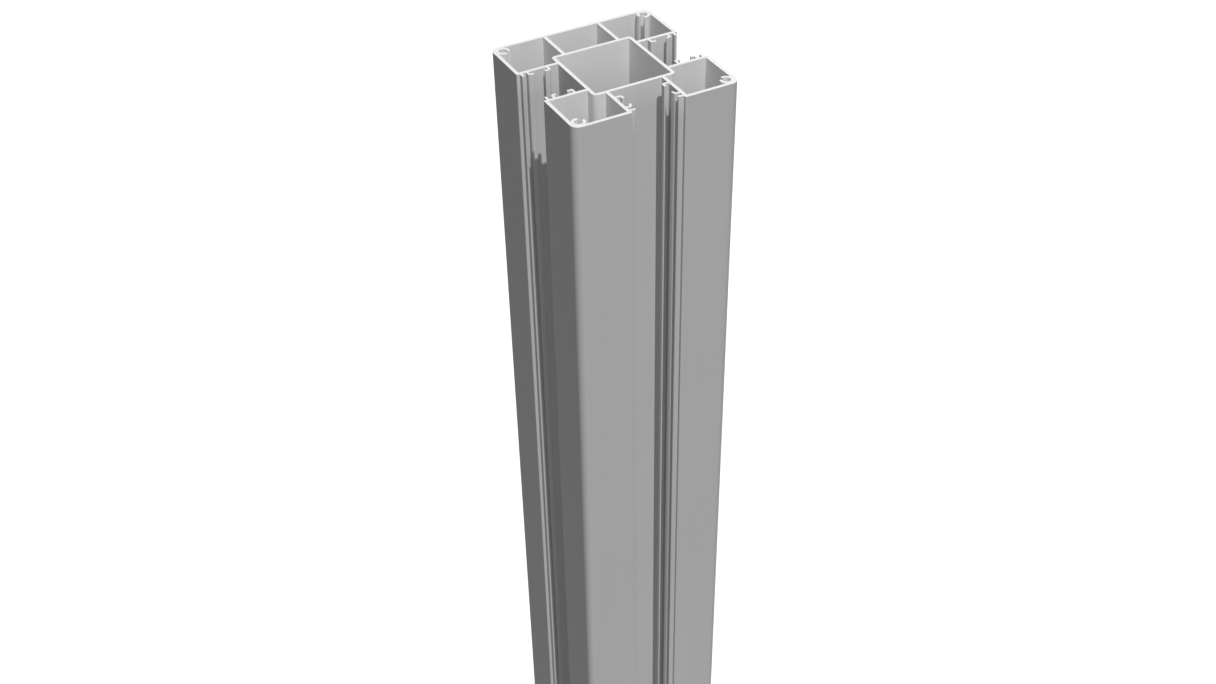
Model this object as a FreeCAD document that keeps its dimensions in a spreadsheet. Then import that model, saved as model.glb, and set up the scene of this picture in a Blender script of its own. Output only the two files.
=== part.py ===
"""Extruded aluminium fence post with three panel slots, one piece, in millimetres.

The post stands on its saw-cut lower end: +Z runs up its length and the origin is the middle of
that end. The front is -Y. The slots open to the front, left and right, and the back is closed.
"""

import FreeCAD
import Part
import math
import os
import re
import Sketcher

START, END, MIDDLE = range(1, 4)
ORIGIN = (-1, 1)
SLOTS = 3
CORNERS = 4
EDGE_REACH = 0.01

# Driving dimensions: alias, value, what it measures.
SIZES = [
    ("post_length", 1800, "cut length"),
    ("post_side", 100, "outside width of the square section"),
    ("skin", 2.0, "thickness of the outer walls"),
    ("corner_radius", 5.0, "outer rounding of the four corners"),
    ("slot_width", 32, "clear width between the two walls of a slot"),
    ("web", 2.0, "thickness of the slot walls"),
    ("mouth_radius", 0.5, "rounding of the edges that a panel slides past"),
    ("tube_side", 50, "outside width of the middle tube, which is the floor of each slot"),
    ("tube_wall", 2.0, "thickness of the middle tube"),
    ("tube_radius", 2.5, "outer rounding of the middle tube"),
    ("root_radius", 0.5, "rounding inside the middle tube"),
    ("partition", 2.0, "thickness of the two walls behind the middle tube"),
    ("rib", 1.4, "thickness of the hooks and lips in the slots"),
    ("rib_radius", 0.5, "rounding of their tips"),
    ("bend_radius", 1.2, "rounding where a hook turns its corner"),
    ("lip_depth", 1.9, "post face to the outer side of the lip"),
    ("lip_height", 3.2, "slot wall to the tip of the lip"),
    ("outer_hook_depth", 6.3, "post face to the middle of the outer hook's stem"),
    ("outer_hook_height", 3.2, "slot wall to the outer hook's bend"),
    ("outer_hook_leg", 3.2, "length of the outer hook's slanted leg"),
    ("outer_hook_tilt", 14, "slant of that leg away from the slot wall, in degrees"),
    ("inner_hook_depth", 18.3, "post face to the middle of the inner hook's stem"),
    ("inner_hook_height", 3.9, "slot wall to the top of the inner hook"),
    ("inner_hook_leg", 3.6, "length of the inner hook over its bend"),
    ("port_bore", 4.6, "hole of the screw ports in the four corners"),
    ("port_wall", 1.7, "thickness of the ring round a screw port"),
    ("port_seat", 0.5, "how far the ring is merged into the outer walls"),
    ("port_gap", 51, "opening of the ring towards the middle of the post, in degrees"),
]

document = FreeCAD.newDocument("fence_post")


def fill_sheet():
    """Put the driving dimensions in a sheet, one row each, under their aliases."""
    table = document.addObject("Spreadsheet::Sheet", "Sizes")
    for row, (alias, value, meaning) in enumerate(SIZES, start=1):
        table.set(f"A{row}", meaning)
        table.set(f"B{row}", str(value))
        table.setAlias(f"B{row}", alias)
    document.recompute()
    return table


sheet = fill_sheet()
post = document.addObject("PartDesign::Body", "Post")
post.Label = "fence_post"


def size(expression):
    """The number that an expression over the sheet's aliases comes to."""
    return float(sheet.evalExpression(in_sheet(expression)))


def in_sheet(expression):
    """The same expression with every alias written out as a cell of the sheet."""
    aliases = {alias for alias, _, _ in SIZES}
    return re.sub(r"[a-z_]+", lambda word: f"Sizes.{word[0]}" if word[0] in aliases else word[0], expression)


def origin_feature(role):
    """A plane or axis of the body's own origin."""
    return next(part for part in post.Origin.OriginFeatures if part.Role == role)


def new_sketch(name):
    """An empty sketch on the post's lower end."""
    sketch = post.newObject("Sketcher::SketchObject", name)
    sketch.AttachmentSupport = [(origin_feature("XY_Plane"), "")]
    sketch.MapMode = "FlatFace"
    return sketch


def constrain(sketch, kind, *places, value=None):
    """Add a constraint, and drive it from the sheet where it has a value."""
    if value is None:
        sketch.addConstraint(Sketcher.Constraint(kind, *places))
        return
    number = size(value)
    if kind == "Angle":
        number = math.radians(number)
    index = sketch.addConstraint(Sketcher.Constraint(kind, *places, number))
    sketch.setExpression(f"Constraints[{index}]", in_sheet(value))


def pin(sketch, geometry, end, x, y):
    """Hold a point at x, y from the middle of the post."""
    constrain(sketch, "DistanceX", *ORIGIN, geometry, end, value=x)
    constrain(sketch, "DistanceY", *ORIGIN, geometry, end, value=y)


def rounding(before, corner, after, radius):
    """The arc that rounds a corner, its two tangent points and whether it turns left."""
    back = (before - corner).normalize()
    ahead = (after - corner).normalize()
    half = back.getAngle(ahead) / 2
    leave = corner + back * (radius / math.tan(half))
    arrive = corner + ahead * (radius / math.tan(half))
    centre = corner + (back + ahead).normalize() * (radius / math.sin(half))
    turns_left = ahead.cross(back).z > 0
    first, last = (leave, arrive) if turns_left else (arrive, leave)
    angles = [math.atan2(point.y - centre.y, point.x - centre.x) for point in (first, last)]
    circle = Part.Circle(centre, FreeCAD.Vector(0, 0, 1), radius)
    return Part.ArcOfCircle(circle, *angles), leave, arrive, turns_left


def draw_loop(sketch, corners):
    """Draw a closed outline and tie each of its corners to the sheet.

    A corner is (x, y) where it is sharp and (x, y, radius) where it is rounded.
    """
    spots = [FreeCAD.Vector(size(corner[0]), size(corner[1]), 0) for corner in corners]
    count = len(corners)
    arcs = {}
    for index, corner in enumerate(corners):
        if len(corner) == 3:
            before, after = spots[index - 1], spots[(index + 1) % count]
            arcs[index] = rounding(before, spots[index], after, size(corner[2]))

    lines = []
    for index in range(count):
        following = (index + 1) % count
        start = arcs[index][2] if index in arcs else spots[index]
        finish = arcs[following][1] if following in arcs else spots[following]
        lines.append(sketch.addGeometry(Part.LineSegment(start, finish), False))

    for index, corner in enumerate(corners):
        arriving, leaving = lines[index - 1], lines[index]
        if index not in arcs:
            constrain(sketch, "Coincident", arriving, END, leaving, START)
            pin(sketch, leaving, START, corner[0], corner[1])
            continue
        arc, _, _, turns_left = arcs[index]
        curve = sketch.addGeometry(arc, False)
        apex = sketch.addGeometry(Part.Point(spots[index]), True)
        first, last = (START, END) if turns_left else (END, START)
        constrain(sketch, "Tangent", arriving, END, curve, first)
        constrain(sketch, "Tangent", leaving, START, curve, last)
        constrain(sketch, "Radius", curve, value=corner[2])
        constrain(sketch, "PointOnObject", apex, START, arriving)
        constrain(sketch, "PointOnObject", apex, START, leaving)
        pin(sketch, apex, START, corner[0], corner[1])


def rectangle(x_low, x_high, y_low, y_high, *radius):
    """Corners of an upright rectangle, rounded alike where a radius is given."""
    places = [(x_low, y_low), (x_high, y_low), (x_high, y_high), (x_low, y_high)]
    return [(x, y, *radius) for x, y in places]


def extrude(sketch, name):
    """Press a sketch out along the whole post, leaving flush faces to be merged by the last feature."""
    pad = post.newObject("PartDesign::Pad", name)
    pad.Profile = sketch
    pad.Refine = False
    pad.setExpression("Length", "Sizes.post_length")
    sketch.Visibility = False
    return pad


def repeat_round(features, name, count, turn, backwards=False):
    """Repeat features round the middle of the post, a number of copies within a turn in degrees."""
    pattern = post.newObject("PartDesign::PolarPattern", name)
    pattern.Originals = features
    pattern.Axis = (origin_feature("Z_Axis"), [""])
    pattern.Angle = turn
    pattern.Occurrences = count
    pattern.Reversed = backwards
    pattern.Refine = False
    post.Tip = pattern
    return pattern


def round_edges(places, radius, name):
    """Round the upright edges of the body that stand at the given x, y places."""
    document.recompute()
    base = post.Tip
    edges = []
    for index, edge in enumerate(base.Shape.Edges, start=1):
        foot, top = edge.firstVertex().Point, edge.lastVertex().Point
        upright = math.hypot(foot.x - top.x, foot.y - top.y) < EDGE_REACH
        if upright and any(math.hypot(foot.x - x, foot.y - y) < EDGE_REACH for x, y in places):
            edges.append(f"Edge{index}")
    fillet = post.newObject("PartDesign::Fillet", name)
    fillet.Base = (base, edges)
    fillet.setExpression("Radius", f"Sizes.{radius}")
    return fillet


FACE = "post_side / 2"
INNER_FACE = "post_side / 2 - skin"
SLOT_FACE = "slot_width / 2"
WEB_FACE = "slot_width / 2 + web"
INSIDE_WEB = "slot_width / 2 + web / 2"
FLOOR = "tube_side / 2"
INSIDE_TUBE_WALL = "tube_side / 2 - tube_wall / 2"
TUBE_BORE = "tube_side / 2 - tube_wall"


def opposite(expression):
    """The same distance to the other side of the middle."""
    return f"0 - ({expression})"


def make_skin():
    """Outer walls: a square tube of even thickness, rounded at its corners."""
    sketch = new_sketch("SkinSketch")
    inner_radius = "corner_radius - skin"
    draw_loop(sketch, rectangle(opposite(FACE), FACE, opposite(FACE), FACE, "corner_radius"))
    draw_loop(
        sketch,
        rectangle(opposite(INNER_FACE), INNER_FACE, opposite(INNER_FACE), INNER_FACE, inner_radius),
    )
    return extrude(sketch, "Skin")


def cut_mouths():
    """Open the outer walls between the slot walls on the right, front and left."""
    sketch = new_sketch("MouthSketch")
    draw_loop(sketch, rectangle(FLOOR, "post_side / 2 + skin", opposite(SLOT_FACE), SLOT_FACE))
    mouth = post.newObject("PartDesign::Pocket", "Mouth")
    mouth.Profile = sketch
    mouth.setExpression("Length", "Sizes.post_length")
    mouth.Reversed = True
    sketch.Visibility = False
    return repeat_round([mouth], "Mouths", SLOTS, 180, backwards=True)


def draw_both_sides(sketch, corners):
    """Draw an outline on each of the two walls of the right-hand slot."""
    draw_loop(sketch, corners)
    draw_loop(sketch, [(x, opposite(y), *radius) for x, y, *radius in corners])


def make_webs():
    """Walls of a slot, from the middle tube out to the post's face."""
    sketch = new_sketch("WebSketch")
    draw_both_sides(sketch, rectangle(INSIDE_TUBE_WALL, FACE, SLOT_FACE, WEB_FACE))
    return extrude(sketch, "Webs")


def make_lips():
    """Straight fins just inside the mouth of a slot."""
    sketch = new_sketch("LipSketch")
    outer = "post_side / 2 - lip_depth"
    inner = "post_side / 2 - lip_depth - rib"
    tip = "slot_width / 2 - lip_height"
    corners = [
        (inner, INSIDE_WEB),
        (inner, tip, "rib_radius"),
        (outer, tip, "rib_radius"),
        (outer, INSIDE_WEB),
    ]
    draw_both_sides(sketch, corners)
    return extrude(sketch, "Lips")


def make_outer_hooks():
    """Hooks behind the lips, whose legs slant back into the slot and away from its wall."""
    sketch = new_sketch("OuterHookSketch")
    near = "post_side / 2 - outer_hook_depth + rib / 2"
    far = "post_side / 2 - outer_hook_depth - rib / 2"
    bend = "slot_width / 2 - outer_hook_height"
    knee = f"{bend} + rib * (1 - sin(outer_hook_tilt)) / cos(outer_hook_tilt)"
    tip_x = f"{near} - outer_hook_leg * cos(outer_hook_tilt)"
    tip_y = f"{bend} - outer_hook_leg * sin(outer_hook_tilt)"
    heel_x = f"{tip_x} - rib * sin(outer_hook_tilt)"
    heel_y = f"{tip_y} + rib * cos(outer_hook_tilt)"
    corners = [
        (near, INSIDE_WEB),
        (far, INSIDE_WEB),
        (far, knee),
        (heel_x, heel_y, "rib_radius"),
        (tip_x, tip_y, "rib_radius"),
        (near, bend, "bend_radius"),
    ]
    draw_both_sides(sketch, corners)
    return extrude(sketch, "OuterHooks")


def make_inner_hooks():
    """Hooks half way down a slot, whose legs run towards the mouth."""
    sketch = new_sketch("InnerHookSketch")
    back = "post_side / 2 - inner_hook_depth - rib / 2"
    front = "post_side / 2 - inner_hook_depth + rib / 2"
    toe = "post_side / 2 - inner_hook_depth - rib / 2 + inner_hook_leg"
    crown = "slot_width / 2 - inner_hook_height"
    underside = "slot_width / 2 - inner_hook_height + rib"
    corners = [
        (front, INSIDE_WEB),
        (back, INSIDE_WEB),
        (back, crown, "bend_radius"),
        (toe, crown, "rib_radius"),
        (toe, underside, "rib_radius"),
        (front, underside),
    ]
    draw_both_sides(sketch, corners)
    return extrude(sketch, "InnerHooks")


def make_tube():
    """Square tube in the middle, open from end to end."""
    sketch = new_sketch("TubeSketch")
    draw_loop(sketch, rectangle(opposite(FLOOR), FLOOR, opposite(FLOOR), FLOOR, "tube_radius"))
    draw_loop(
        sketch,
        rectangle(opposite(TUBE_BORE), TUBE_BORE, opposite(TUBE_BORE), TUBE_BORE, "root_radius"),
    )
    return extrude(sketch, "Tube")


def make_partitions():
    """Two walls from the middle tube to the back, in line with the walls of the front slot."""
    sketch = new_sketch("PartitionSketch")
    inner = "slot_width / 2 + web / 2 - partition / 2"
    outer = "slot_width / 2 + web / 2 + partition / 2"
    back = "post_side / 2 - skin / 2"
    draw_loop(sketch, rectangle(inner, outer, INSIDE_TUBE_WALL, back))
    draw_loop(sketch, rectangle(opposite(outer), opposite(inner), INSIDE_TUBE_WALL, back))
    return extrude(sketch, "Partitions")


def make_ports():
    """Open rings in the four corners, which take self-tapping screws at both ends of the post."""
    sketch = new_sketch("PortSketch")
    ring = "port_bore / 2 + port_wall"
    bore = "port_bore / 2"
    place = f"{INNER_FACE} - ({ring}) + port_seat"
    centre = FreeCAD.Vector(size(place), size(place), 0)
    slants = ["45 - port_gap / 2", "45 + port_gap / 2"]
    end_angle, start_angle = [math.radians(size(slant) + 180) for slant in slants]
    start_angle -= 2 * math.pi

    curves = []
    for radius in (ring, bore):
        circle = Part.Circle(centre, FreeCAD.Vector(0, 0, 1), size(radius))
        curves.append(sketch.addGeometry(Part.ArcOfCircle(circle, start_angle, end_angle), False))
        constrain(sketch, "Radius", curves[-1], value=radius)
    outside, inside = curves
    pin(sketch, outside, MIDDLE, place, place)
    constrain(sketch, "Coincident", outside, MIDDLE, inside, MIDDLE)

    for slant, end in zip(slants, (END, START)):
        angle = math.radians(size(slant))
        inward = FreeCAD.Vector(math.cos(angle), math.sin(angle), 0)
        cut = Part.LineSegment(centre - inward * size(ring), centre - inward * size(bore))
        tip = sketch.addGeometry(cut, False)
        constrain(sketch, "Coincident", tip, START, outside, end)
        constrain(sketch, "Coincident", tip, END, inside, end)
        constrain(sketch, "Angle", tip, value=slant)
    return repeat_round([extrude(sketch, "Port")], "Ports", CORNERS, 360)


def check_document():
    """Stop if any object failed or the post isn't one sound solid."""
    for item in document.Objects:
        if "Invalid" in item.State or "Error" in item.State:
            raise RuntimeError(f"{item.Label} is {item.State}")
    for item in document.Objects:
        if item.TypeId == "Sketcher::SketchObject" and item.solve() != 0:
            raise RuntimeError(f"{item.Label} is not solved")
    shape = post.Shape
    if shape.isNull() or not shape.isValid() or len(shape.Solids) != 1:
        raise RuntimeError("the post is not one valid solid")
    return shape


make_skin()
cut_mouths()
slot_parts = [make_webs(), make_lips(), make_outer_hooks(), make_inner_hooks()]
repeat_round(slot_parts, "Slots", SLOTS, 180, backwards=True)
make_tube()
make_partitions()
make_ports()

edge = size(FACE)
side = size(SLOT_FACE)
mouth_edges = [(x, y) for x in (-edge, edge) for y in (-side, side)]
mouth_edges += [(x, -edge) for x in (-side, side)]
round_edges(mouth_edges, "mouth_radius", "MouthEdges")

document.recompute()
shape = check_document()
os.makedirs("parts", exist_ok=True)
shape.exportStep(f"parts/{post.Label}.step")

box = shape.BoundBox
section = shape.Volume / box.ZLength
print(f"{post.Label}: {box.XLength:.2f} x {box.YLength:.2f} x {box.ZLength:.2f} mm")
print(f"section {section:.1f} mm2, {len(shape.Faces)} faces, volume {shape.Volume:.0f} mm3")
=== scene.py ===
# %% [markdown]
# # A fence post of extruded aluminium
#
# The real object is one length of aluminium, pushed hot through a steel die and sawn off. Its
# section has a square tube in the middle, hollow corners, a closed back and three slots with
# hooks, which hold the edges of fence panels. Every one of those forms has a function, so they
# are all in the imported model, and this script doesn't redraw them. What is left to make here is
# the view, the light and, above all, the surface: anodised metal with die lines along the sides,
# a more metallic surface in the closed chambers and fresh saw cuts at the ends. The chambers and
# the ends of the slots also get painted light, lighter greys that stand in for light bouncing
# about in them, and the chambers' grey darkens with depth as painted shade.
#
# The first cell loads the imported model and keeps its box, because the dressed post may not grow.

# %% load the imported post
import math

import bpy
from mathutils import Matrix, Vector


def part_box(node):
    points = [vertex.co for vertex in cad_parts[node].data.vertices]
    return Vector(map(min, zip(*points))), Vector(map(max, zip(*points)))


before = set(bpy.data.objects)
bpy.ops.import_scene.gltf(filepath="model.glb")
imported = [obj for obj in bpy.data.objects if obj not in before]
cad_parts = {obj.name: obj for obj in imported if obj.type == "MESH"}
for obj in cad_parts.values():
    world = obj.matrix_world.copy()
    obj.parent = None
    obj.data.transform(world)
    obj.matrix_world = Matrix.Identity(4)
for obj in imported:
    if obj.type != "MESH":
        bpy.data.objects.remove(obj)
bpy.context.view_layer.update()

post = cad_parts["fence_post"]
low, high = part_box("fence_post")
print(f"post: {high.x - low.x:.3f} m square, {high.z - low.z:.3f} m long")
print(f"its mesh: {len(post.data.polygons)} triangles, which stay as they are")

# %% [markdown]
# ## The camera
#
# The photograph looks down on the upper end from the front left. Its place and turn were worked
# out from the post's own straight edges: the lines along the post and the two directions of the
# cut end each run to a vanishing point, and three such points fix a camera. Laying the render over
# the photograph then gave the last tenths of a degree and the last millimetres. The numbers are
# written here as a surveyor would say them: how far the camera is turned, tipped and leaning,
# and where it stands relative to the middle of the upper end.

# %% camera at the photograph's viewpoint
TURNED_RIGHT = math.radians(28.11)
TIPPED_DOWN = math.radians(38.225)
LEANING = math.radians(0.985)
FROM_TOP = Vector((-0.3532, -0.6503, 0.3924))
LENS_MM = 45.15
FILM_MM = 36
NEAREST = 0.01

tip = Matrix.Rotation(math.pi / 2 - TIPPED_DOWN, 4, "X")
turn = Matrix.Rotation(-TURNED_RIGHT, 4, "Z") @ tip @ Matrix.Rotation(-LEANING, 4, "Z")
camera_data = bpy.data.cameras.new("camera")
camera_data.lens = LENS_MM
camera_data.sensor_width = FILM_MM
camera_data.clip_start = NEAREST
camera = bpy.data.objects.new("camera", camera_data)
bpy.context.scene.collection.objects.link(camera)
camera.matrix_world = Matrix.Translation(Vector((0, 0, high.z)) + FROM_TOP) @ turn
bpy.context.scene.camera = camera
print(f"camera: {FROM_TOP.length:.2f} m from the upper end, {LENS_MM} mm lens")

# %% [markdown]
# ## The lamps
#
# The photograph has one hard light, high in front and a little to the left. The proof is in the
# left slot, where the rim of the slot and its hooks throw a toothed shadow on the far wall: its
# slope gives the lamp's direction. That shadow isn't black but an even grey, right into its
# corners. So a second light comes from the camera's side and throws no shadow of its own. Such a
# light is common in computer drawings, and Blender has a switch for it. A third lamp stands behind
# the post on the right. The photograph hardly sees what it lights, but the back and the right side
# would be nearly black in other views without it. All three are sun lamps, whose light is the same
# at every height of a long post. A sun lamp's angle is the width of its disc, so a small angle
# gives a sharp shadow and a large one a soft one.

# %% lamps
def add_lamp(name, towards, strength, width, shadow=True):
    """A sun lamp that shines from the direction `towards`, `width` degrees across."""
    data = bpy.data.lights.new(name, "SUN")
    data.energy = strength
    data.angle = math.radians(width)
    data.use_shadow = shadow
    lamp = bpy.data.objects.new(name, data)
    bpy.context.scene.collection.objects.link(lamp)
    lamp.rotation_mode = "QUATERNION"
    lamp.rotation_quaternion = Vector(towards).to_track_quat("Z", "Y")
    print(f"{name}: strength {strength}, {width} degrees wide, shadow {shadow}")


add_lamp("key_lamp", towards=(-0.12, -1.0, 1.85), strength=3.18, width=0.8)
add_lamp("fill_lamp", towards=(-0.42, -0.80, 0.47), strength=0.70, width=10, shadow=False)
add_lamp("back_lamp", towards=(0.80, 0.66, 0.38), strength=1.5, width=40)

# %% [markdown]
# ## A helper that wires nodes
#
# Materials, the world and the floor are all made of nodes: small machines that pass on numbers
# through sockets. Adding them one by one in code is long-winded, so `Recipe` is a shorthand. It
# adds a node, sets the plain numbers on its sockets, links the rest, and gives back the socket
# with the answer, ready for the next node.

# %% a helper that wires nodes
class Recipe:
    """Adds nodes to one tree, and gives back the sockets that they answer on."""

    def __init__(self, tree):
        self.tree = tree

    def feed(self, socket, value):
        """Set a plain number on a socket, or link another socket to it."""
        if isinstance(value, bpy.types.NodeSocket):
            self.tree.links.new(value, socket)
        else:
            socket.default_value = value

    def add(self, kind, inputs, **settings):
        """Add a node of one kind, with numbers or links for its inputs, and its settings."""
        node = self.tree.nodes.new(f"ShaderNode{kind}")
        for name, value in settings.items():
            setattr(node, name, value)
        for name, value in inputs.items():
            self.feed(node.inputs[name], value)
        return node.outputs[0]

    def math(self, operation, *numbers):
        """One sum on numbers or sockets, such as ADD or LESS_THAN."""
        return self.add("Math", dict(enumerate(numbers)), operation=operation)

    def blend(self, share, start, end):
        """The number `start` where share is 0, `end` where it is 1, and in between elsewhere."""
        return self.add("MapRange", {"Value": share, "To Min": start, "To Max": end})

    def swing(self, noise, width):
        """A noise around one half, turned into a swing around zero, `width` from end to end."""
        return self.math("MULTIPLY", self.math("SUBTRACT", noise, 0.5), width)

    def split(self, position):
        """The x, y and z of a position."""
        node = self.tree.nodes.new("ShaderNodeSeparateXYZ")
        self.feed(node.inputs["Vector"], position)
        return node.outputs["X"], node.outputs["Y"], node.outputs["Z"]

    def use(self, group, **inputs):
        """Place a group and give back all its answers. An underscore stands for a space."""
        node = self.tree.nodes.new("ShaderNodeGroup")
        node.node_tree = group
        for name, value in inputs.items():
            self.feed(node.inputs[name.replace("_", " ")], value)
        return node.outputs


print("helper: Recipe")

# %% [markdown]
# ## The white surroundings
#
# The photograph has a plain white background, but a white room lit to that level would also
# flood the slots with light, and their shadows would go. Light Path says what kind of ray is
# asking: the camera, and reflections, get white, and the rays that carry light from surface to
# surface get a dim version. The floor does the same with its colour, and keeps the post's shadow.

# %% white surroundings
AMBIENT = 0.045
FLOOR_WHITE = 0.95
FLOOR_DIM = 0.03
FLOOR_SIDE = 24
WHITE = (1, 1, 1, 1)


def dim_unless_seen(tree, dim, bright, socket):
    """Feed a socket with `bright` for camera and glossy rays, and with `dim` for all others."""
    make = Recipe(tree)
    ray = tree.nodes.new("ShaderNodeLightPath").outputs
    seen = make.math("MAXIMUM", ray["Is Camera Ray"], ray["Is Glossy Ray"])
    make.feed(socket, make.blend(seen, dim, bright))


world = bpy.data.worlds.new("white_room")
world.use_nodes = True
sky = world.node_tree.nodes["Background"]
sky.inputs["Color"].default_value = WHITE
dim_unless_seen(world.node_tree, AMBIENT, 1.0, sky.inputs["Strength"])
bpy.context.scene.world = world

bpy.ops.object.select_all(action="DESELECT")
bpy.ops.mesh.primitive_plane_add(size=FLOOR_SIDE, location=(0, 0, low.z))
floor = bpy.context.object
floor.name = "floor"
floor_finish = bpy.data.materials.new("white_floor")
floor_finish.use_nodes = True
floor_shader = floor_finish.node_tree.nodes["Principled BSDF"]
floor_shader.inputs["Roughness"].default_value = 1.0
floor_shader.inputs["Specular IOR Level"].default_value = 0.0
dim_unless_seen(floor_finish.node_tree, FLOOR_DIM, FLOOR_WHITE, floor_shader.inputs["Base Color"])
floor.data.materials.append(floor_finish)
print(f"surroundings: white to the eye, {AMBIENT} as light, floor {FLOOR_SIDE} m across")

# %% [markdown]
# ## Groups: a rule for each finish
#
# The finish differs from place to place, but always by a rule: the ends are sawn, and the outside
# and the slots are anodised. The closed chambers are more metallic and less rough, and they get a
# lighter grey as painted light that darkens with depth as painted shade; the ends of the slots get
# painted light too. Each rule becomes a node group with named sockets, as a function would in
# code. A group takes a position and only puts out numbers. The shader itself stays in the
# material.

# %% a helper that starts a group
def new_group(name, answers, numbers):
    """A node group that takes a position and named numbers, and puts out named numbers."""
    group = bpy.data.node_groups.new(name, "ShaderNodeTree")
    group.interface.new_socket("Position", in_out="INPUT", socket_type="NodeSocketVector")
    for label, usual in numbers.items():
        socket = group.interface.new_socket(label, in_out="INPUT", socket_type="NodeSocketFloat")
        socket.default_value = usual
    for label in answers:
        group.interface.new_socket(label, in_out="OUTPUT", socket_type="NodeSocketFloat")
    given = group.nodes.new("NodeGroupInput").outputs
    result = group.nodes.new("NodeGroupOutput").inputs
    return group, Recipe(group), given, result


print("helper: new_group")

# %% [markdown]
# ## Which space a place looks into
#
# Each face looks into the tube, another closed chamber, a slot, or the open air outside. The post
# is the same on all four sides apart from its back, so the sign of x and y is dropped first. Two
# numbers then say nearly everything: how far out the place is in the direction where it is
# furthest out, and how far in the other direction. The tube's limit and the slots' lie in the
# middle of a wall, so that each face of the wall has the finish of the space in front of it. The
# skin's lies closer to its inner face, because the outer face comes in to 48.5 mm where its
# corners are rounded. The mouth's lies just inside the outer face, where the slots end.

# %% group: spaces
TUBE_LIMIT = 0.024
SLOT_LIMIT = 0.017
SKIN_LIMIT = 0.0483
MOUTH_LIMIT = 0.0499

spaces, make, given, result = new_group("spaces", ["Closed", "Tube", "Slot"], {})
x, y = make.split(given["Position"])[:2]
across = make.math("ABSOLUTE", x)
along = make.math("ABSOLUTE", y)
furthest = make.math("MAXIMUM", across, along)
nearest = make.math("MINIMUM", across, along)
in_tube = make.math("LESS_THAN", furthest, TUBE_LIMIT)
in_corner = make.math("GREATER_THAN", nearest, SLOT_LIMIT)
in_back = make.math("GREATER_THAN", y, TUBE_LIMIT)
within_skin = make.math("LESS_THAN", furthest, SKIN_LIMIT)
in_edge_chamber = make.math("MULTIPLY", make.math("MAXIMUM", in_corner, in_back), within_skin)
closed = make.math("MAXIMUM", in_tube, in_edge_chamber)
between_walls = make.math("LESS_THAN", nearest, SLOT_LIMIT)
within_mouth = make.math("LESS_THAN", furthest, MOUTH_LIMIT)
not_closed = make.math("SUBTRACT", 1.0, closed)
in_slot = make.math("MULTIPLY", make.math("MULTIPLY", between_walls, within_mouth), not_closed)
make.feed(result["Closed"], closed)
make.feed(result["Tube"], in_tube)
make.feed(result["Slot"], in_slot)
print(f"group {spaces.name}: {len(spaces.nodes)} nodes")

# %% [markdown]
# ## Die lines
#
# Metal that is pushed through a die keeps hair-fine lines along its length, from tiny flaws in
# the die's edge. They could be modelled, but they are hundredths of a millimetre deep. A noise
# pattern whose place is divided by a small number across the post and a large one along it gives
# the same streaks on every wall at once, however the wall is turned. Three layers of noise, each
# finer than the last, mix broad lines with thin ones.

# %% group: die lines
LINE_LAYERS = 3.0
LINE_FINE_SHARE = 0.6

numbers = {"Spacing": 0.001, "Run": 0.5}
die_lines, make, given, result = new_group("die_lines", ["Lines"], numbers)
cell = make.add("CombineXYZ", {"X": given["Spacing"], "Y": given["Spacing"], "Z": given["Run"]})
stretched = make.add("VectorMath", {0: given["Position"], 1: cell}, operation="DIVIDE")
noise = {"Vector": stretched, "Scale": 1.0, "Detail": LINE_LAYERS, "Roughness": LINE_FINE_SHARE}
make.feed(result["Lines"], make.add("TexNoise", noise))
print(f"group {die_lines.name}: {len(die_lines.nodes)} nodes")

# %% [markdown]
# ## Saw marks
#
# A circular saw leaves one arc for each bite of its teeth. All arcs have the radius of the blade,
# and each is a little further along the feed. So the question at each place is where the blade's
# centre was when its rim passed there. The post is fed along x, and the circle's equation gives
# the answer: the centre was at x minus the root of the blade's radius squared less y squared. An
# uneven wave along that number is the saw's trace.

# %% group: saw marks
MARK_LAYERS = 2.0

numbers = {"Blade Radius": 0.2, "Bite": 0.0009}
saw_marks, make, given, result = new_group("saw_marks", ["Marks"], numbers)
x, y = make.split(given["Position"])[:2]
radius_squared = make.math("MULTIPLY", given["Blade Radius"], given["Blade Radius"])
reach_squared = make.math("SUBTRACT", radius_squared, make.math("MULTIPLY", y, y))
blade_centre = make.math("SUBTRACT", x, make.math("SQRT", reach_squared))
bites = make.math("DIVIDE", blade_centre, given["Bite"])
noise = {"W": bites, "Scale": 1.0, "Detail": MARK_LAYERS}
make.feed(result["Marks"], make.add("TexNoise", noise, noise_dimensions="1D"))
print(f"group {saw_marks.name}: {len(saw_marks.nodes)} nodes")

# %% [markdown]
# ## The aluminium: where each finish is
#
# Three finishes share one material, because the post is one piece: matte grey on the outside and
# in the slots, a more metallic surface with a lighter grey of painted light in the closed
# chambers, and bright where the saw has just cut.
# Masks choose between them. The cut is found by height alone: only the ends lie within a hair's
# breadth of the lowest and highest level. This cell also sets up the patterns that the next two
# use: lines, saw marks, a slow drift of tone and a fine grain.

# %% aluminium: masks and patterns
CUT_DEPTH = 0.00012
LINE_SPACING = 0.0011
LINE_RUN = 0.6
BLADE_RADIUS = 0.2
SAW_BITE = 0.0009
DRIFT_SCALE = 9.0
GRAIN_SCALE = 2600.0
SOFT_LAYERS = 1.0

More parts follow.
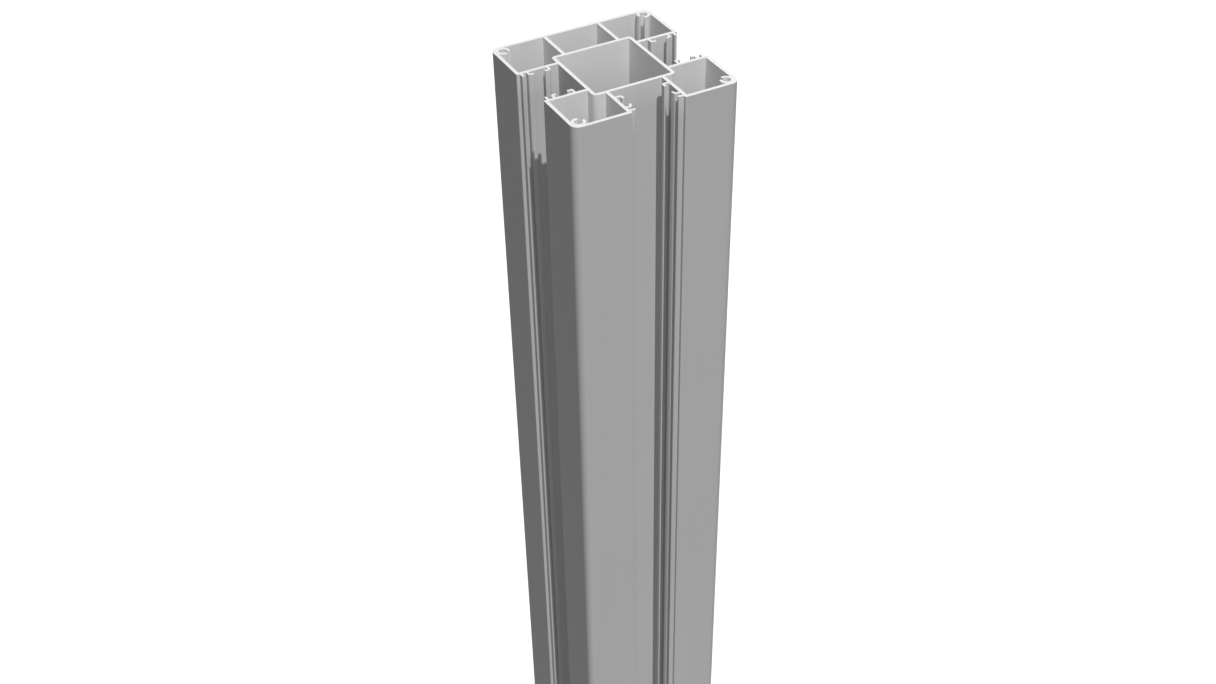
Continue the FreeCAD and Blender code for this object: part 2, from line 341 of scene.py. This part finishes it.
aluminium = bpy.data.materials.new("aluminium")
aluminium.use_nodes = True
shader = aluminium.node_tree.nodes["Principled BSDF"]
make = Recipe(aluminium.node_tree)
place = aluminium.node_tree.nodes.new("ShaderNodeTexCoord").outputs["Object"]
z = make.split(place)[2]
to_end = make.math("MINIMUM", make.math("SUBTRACT", z, low.z), make.math("SUBTRACT", high.z, z))
cut = make.math("LESS_THAN", to_end, CUT_DEPTH)
space = make.use(spaces, Position=place)
closed = space["Closed"]
lines = make.use(die_lines, Position=place, Spacing=LINE_SPACING, Run=LINE_RUN)["Lines"]
marks = make.use(saw_marks, Position=place, Blade_Radius=BLADE_RADIUS, Bite=SAW_BITE)["Marks"]
drift = make.add("TexNoise", {"Vector": place, "Scale": DRIFT_SCALE, "Detail": SOFT_LAYERS})
grain = make.add("TexNoise", {"Vector": place, "Scale": GRAIN_SCALE, "Detail": SOFT_LAYERS})
print(f"material {aluminium.name}: {len(aluminium.node_tree.nodes)} nodes so far")

# %% [markdown]
# ## The aluminium: colour
#
# Grey is mixed as one number, because the metal has no tint. Each die line and a slow drift over a
# hand's breadth make the sides a little uneven, as large extrusions are, and the saw's arcs do it
# at the ends. The photograph's faces are almost as even as paint, so the unevenness stays faint.
# In the photograph, light bounces about in the chambers and in the ends of the slots, and makes
# them brighter than the faces outside. The dim room here gives less of that light, so the greys
# make up for it: they are lighter in the chambers, a little more so in the wide tube, and dull
# with depth, and in the slots they are lighter over the last 16 mm. The masks then blend the
# greys: the chambers' over the outside's, and the cut's over both.

# %% aluminium: colour
OUTSIDE_GREY = 0.49
# Painted light: the slots' grey is raised towards their ends, over the last 16 mm, to stand in for
# light bouncing about there.
SLOT_END_PAINTED_LIGHT_GAIN = 1.2
SLOT_END_PAINTED_LIGHT_DEPTH = 0.016
# Painted light and shade: the chambers' grey is lighter, the tube's a little more, standing in for
# light bouncing about in them, and it darkens with depth as painted shade.
CHAMBER_PAINTED_LIGHT_GREY = 0.71
CHAMBER_PAINTED_SHADE_GREY = 0.34
PAINTED_SHADE_DEPTH = 0.08
TUBE_PAINTED_LIGHT_GAIN = 1.04
CUT_GREY = 0.67
LINE_TONE = 0.07
DRIFT_TONE = 0.05
MARK_TONE = 0.10

# Painted shade: the chamber grey darkens from the cut down to the given depth.
depth = make.add("MapRange", {"Value": to_end, "From Max": PAINTED_SHADE_DEPTH})
chamber_painted_grey = make.blend(depth, CHAMBER_PAINTED_LIGHT_GREY, CHAMBER_PAINTED_SHADE_GREY)
hollow_painted_grey = make.math("MULTIPLY", chamber_painted_grey, make.blend(space["Tube"], 1.0, TUBE_PAINTED_LIGHT_GAIN))
# Painted light: slot faces are lighter near the ends of the post.
slot_end_painted_light = {"Value": to_end, "From Max": SLOT_END_PAINTED_LIGHT_DEPTH, "To Min": SLOT_END_PAINTED_LIGHT_GAIN, "To Max": 1.0}
slot_painted_light_gain = make.blend(space["Slot"], 1.0, make.add("MapRange", slot_end_painted_light))
open_grey_and_painted_light = make.math("MULTIPLY", slot_painted_light_gain, OUTSIDE_GREY)
side_grey = make.blend(closed, open_grey_and_painted_light, hollow_painted_grey)
unevenness = make.math("ADD", make.swing(lines, LINE_TONE), make.swing(drift, DRIFT_TONE))
side_colour = make.math("MULTIPLY", side_grey, make.math("ADD", unevenness, 1.0))
cut_colour = make.math("ADD", CUT_GREY, make.swing(marks, MARK_TONE))
make.feed(shader.inputs["Base Color"], make.blend(cut, side_colour, cut_colour))
print(f"greys: outside {OUTSIDE_GREY}, cut {CUT_GREY}")
print(f"chambers: {CHAMBER_PAINTED_LIGHT_GREY} at the cut, {CHAMBER_PAINTED_SHADE_GREY} from {PAINTED_SHADE_DEPTH} m in")

# %% [markdown]
# ## The aluminium: sheen and relief
#
# Anodised metal is covered by a layer of oxide that scatters light, so only a small part of the
# light is reflected as by bare metal. In the chambers and on the cut it is more. The lines, a fine
# grain and the saw's arcs also go into a Bump node, which shades the surface as if it had relief a
# few hundredths of a millimetre deep, without any new faces. The gloss is the same all over, so it
# is a plain number on the shader's own socket.

# %% aluminium: sheen and relief
OUTSIDE_ROUGHNESS = 0.55
CHAMBER_ROUGHNESS = 0.42
CUT_ROUGHNESS = 0.55
LINE_ROUGHNESS = 0.08
MARK_ROUGHNESS = 0.14
OUTSIDE_METAL = 0.03
BARE_METAL = 0.20
GLOSS = 0.05
GRAIN_SHARE = 0.3
RELIEF_STRENGTH = 0.25
RELIEF_DEPTH = 0.00004

side_roughness = make.blend(closed, OUTSIDE_ROUGHNESS, CHAMBER_ROUGHNESS)
side_roughness = make.math("ADD", side_roughness, make.math("MULTIPLY", lines, LINE_ROUGHNESS))
cut_roughness = make.math("ADD", CUT_ROUGHNESS, make.math("MULTIPLY", marks, MARK_ROUGHNESS))
make.feed(shader.inputs["Roughness"], make.blend(cut, side_roughness, cut_roughness))
bare = make.math("MAXIMUM", closed, cut)
make.feed(shader.inputs["Metallic"], make.blend(bare, OUTSIDE_METAL, BARE_METAL))
shader.inputs["Specular IOR Level"].default_value = GLOSS

side_relief = make.math("ADD", lines, make.math("MULTIPLY", grain, GRAIN_SHARE))
relief = make.blend(cut, side_relief, marks)
bump = {"Strength": RELIEF_STRENGTH, "Distance": RELIEF_DEPTH, "Height": relief}
make.feed(shader.inputs["Normal"], make.add("Bump", bump))
post.material_slots[0].material = aluminium
print(f"material {aluminium.name}: {len(aluminium.node_tree.nodes)} nodes, on the whole post")

# %% [markdown]
# ## Colours as written
#
# The Standard view transform shows a colour as it is written, where others bend the tones like
# film.

bpy.context.scene.view_settings.view_transform = "Standard"
